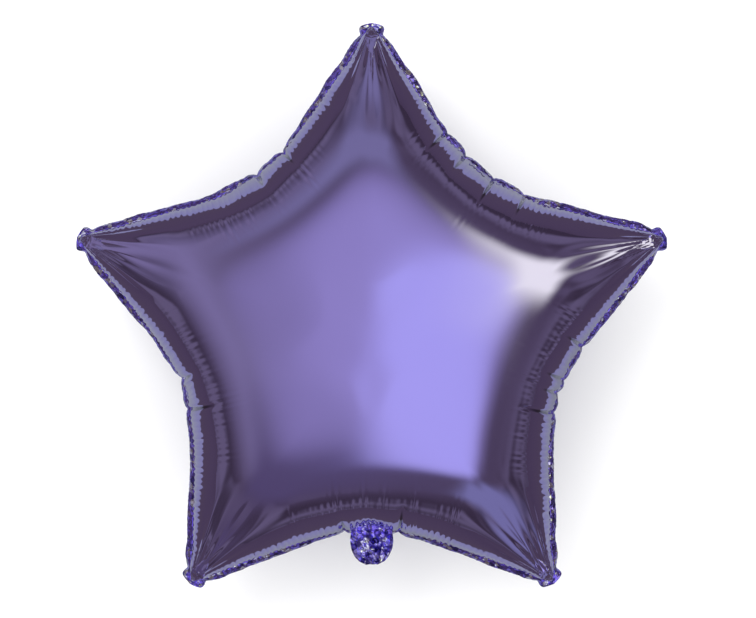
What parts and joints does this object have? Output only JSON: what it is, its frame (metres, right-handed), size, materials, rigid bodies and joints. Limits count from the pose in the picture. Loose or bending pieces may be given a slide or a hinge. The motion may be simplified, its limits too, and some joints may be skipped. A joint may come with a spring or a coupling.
{
  "type": "star foil balloon",
  "caption": "Blown-up star-shaped foil balloon with gathered welded edges, a crinkled border and a short filling tail, lying on its back.",
  "frame": {"origin": "on the axis of the star, in the middle of the flat spot on its back, where the balloon lies on the surface", "axes": "+Z from the back to the front of the balloon, +Y towards the end of the upper arm, +X to the right seen from the front"},
  "size_m": [0.4296, 0.4107, 0.171],
  "materials": {
    "foil": "metallised violet film, mirror gloss"
  },
  "bodies": {
    "root": {"foil_balloon": "foil"}
  },
  "joints": []
}
